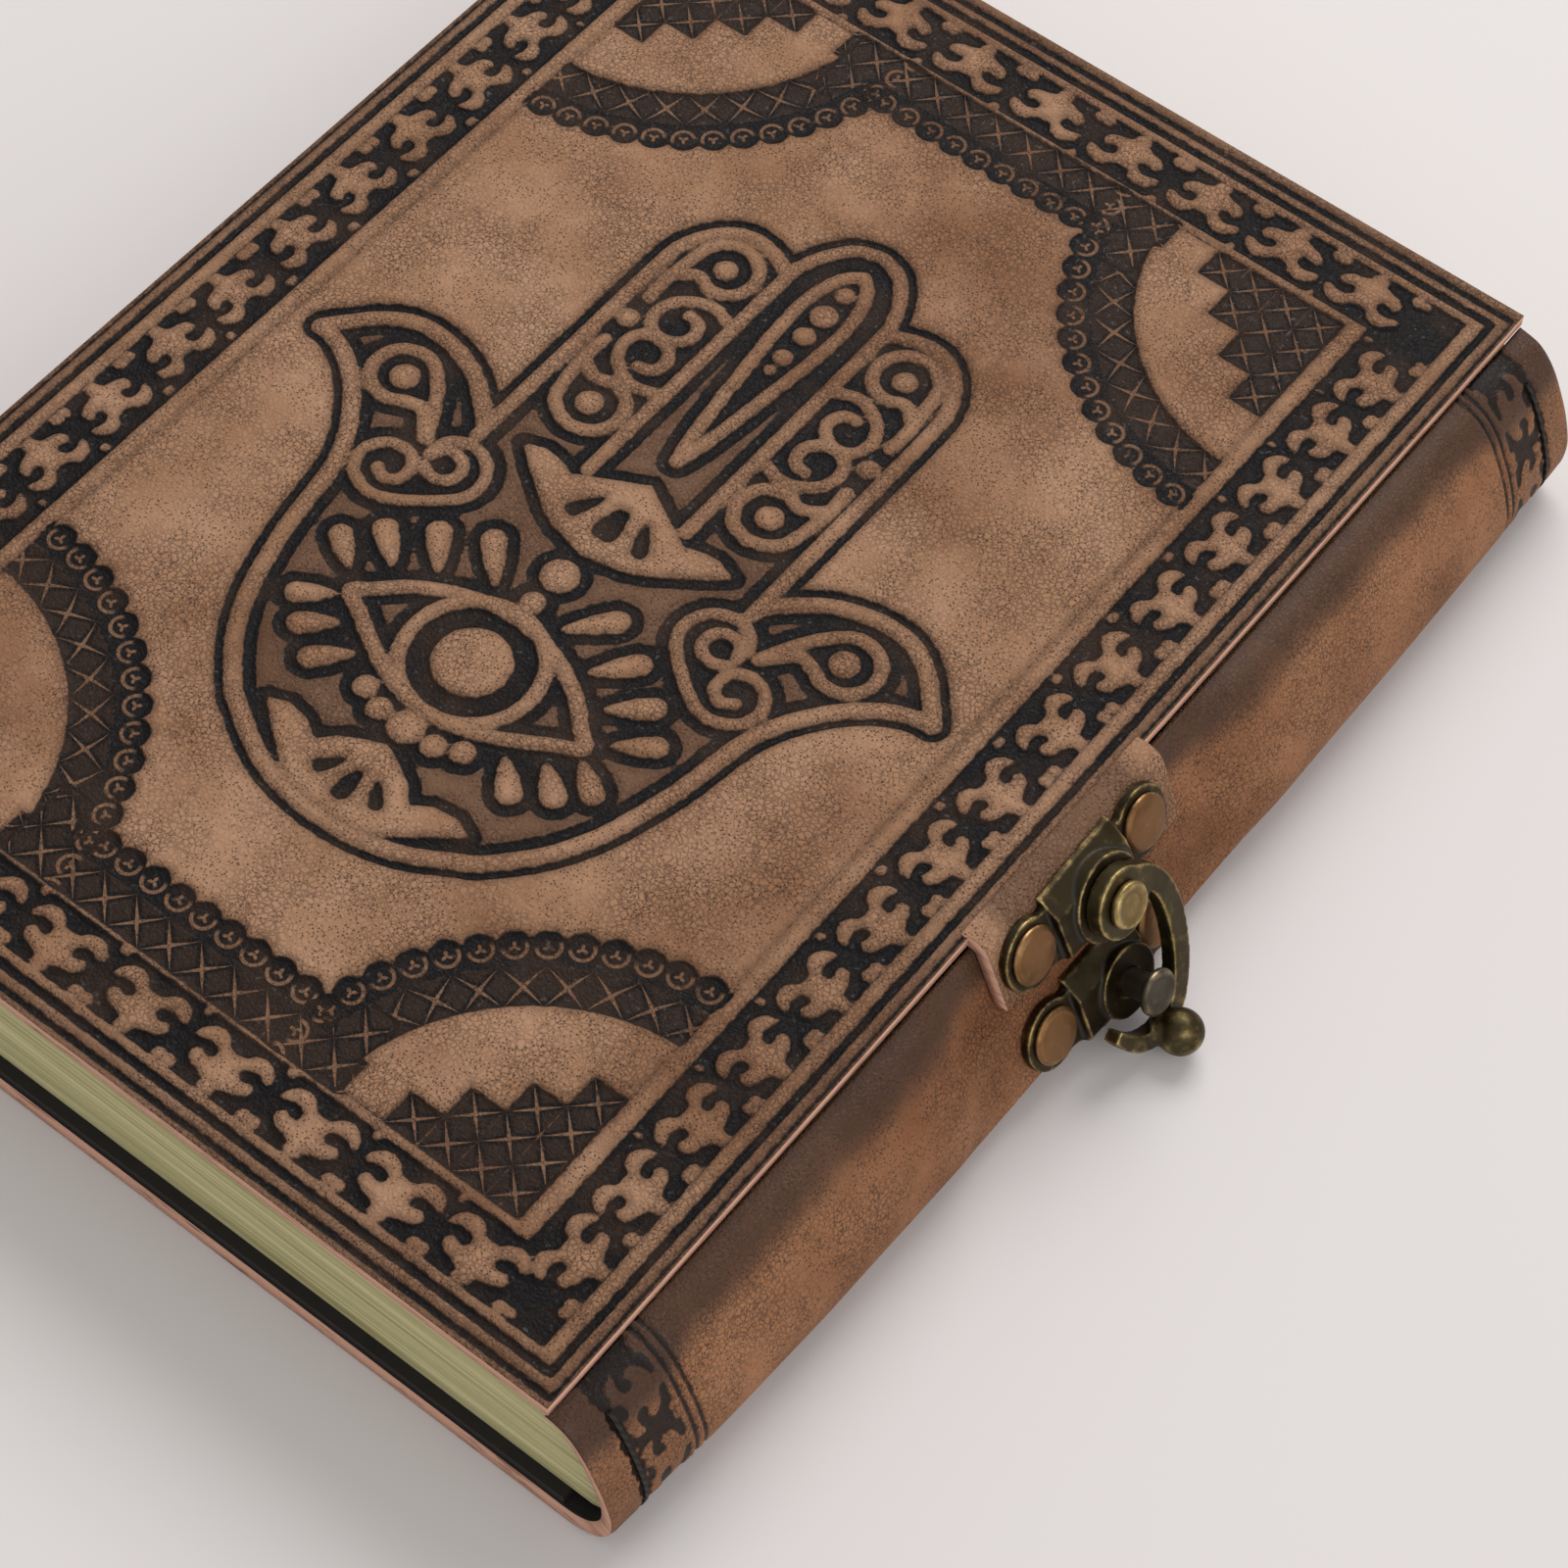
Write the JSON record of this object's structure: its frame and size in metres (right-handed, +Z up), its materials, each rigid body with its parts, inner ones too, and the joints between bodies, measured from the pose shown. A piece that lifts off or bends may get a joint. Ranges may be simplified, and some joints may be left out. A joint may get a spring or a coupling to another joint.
{
  "type": "leather journal",
  "caption": "Handmade journal bound in embossed leather, with a hand and eye in relief on the front cover, a wrapped fore-edge and a swinging brass hook clasp.",
  "frame": {"origin": "centre of the bounding box's bottom face, on the surface the closed journal lies on", "axes": "+X from the spine to the fore-edge, +Y along the spine to the top of the book, +Z up through the front cover"},
  "size_m": [0.1494, 0.178, 0.0255],
  "materials": {
    "cover_leather": "embossed and dyed, dark in the hollows, finely pitted",
    "wrap_leather": "mottled dark brown, slightly shiny",
    "lining": "matt black",
    "pages": "pale green-cream sheet edges",
    "thread": "waxed dark thread",
    "plate_brass": "aged olive-brown with worn golden edges",
    "hook_brass": "aged, with worn golden edges",
    "pin_brass": "golden, dished head",
    "post_metal": "dark grey with a bright rim",
    "rivet_copper": "coppery brown"
  },
  "bodies": {
    "back": {"back_cover": "wrap_leather", "back_lining": "lining", "page_block": "pages", "binding_thread": "thread", "flap_stitching": "thread", "lower_plate": "plate_brass", "latch_post": "post_metal", "lower_rivets": "rivet_copper", "lower_burrs": "rivet_copper"},
    "front": {"front_cover": "cover_leather", "front_lining": "lining", "upper_plate": "plate_brass", "pivot_pin": "pin_brass", "upper_rivets": "rivet_copper", "upper_burrs": "rivet_copper"},
    "hook": {"swing_hook": "hook_brass"}
  },
  "joints": [
    {"name": "front_cover_hinge", "type": "hinge", "parent": "back", "child": "front", "pos_m": [-0.07394, 0, 0.02305], "axis": [0, -1, 0], "range_deg": [0, 180]},
    {"name": "hook_swing", "type": "hinge", "parent": "front", "child": "hook", "pos_m": [0.06159, -0.0041, 0.02066], "axis": [0.9205, 0, 0.3907], "range_deg": [0, 105]}
  ]
}
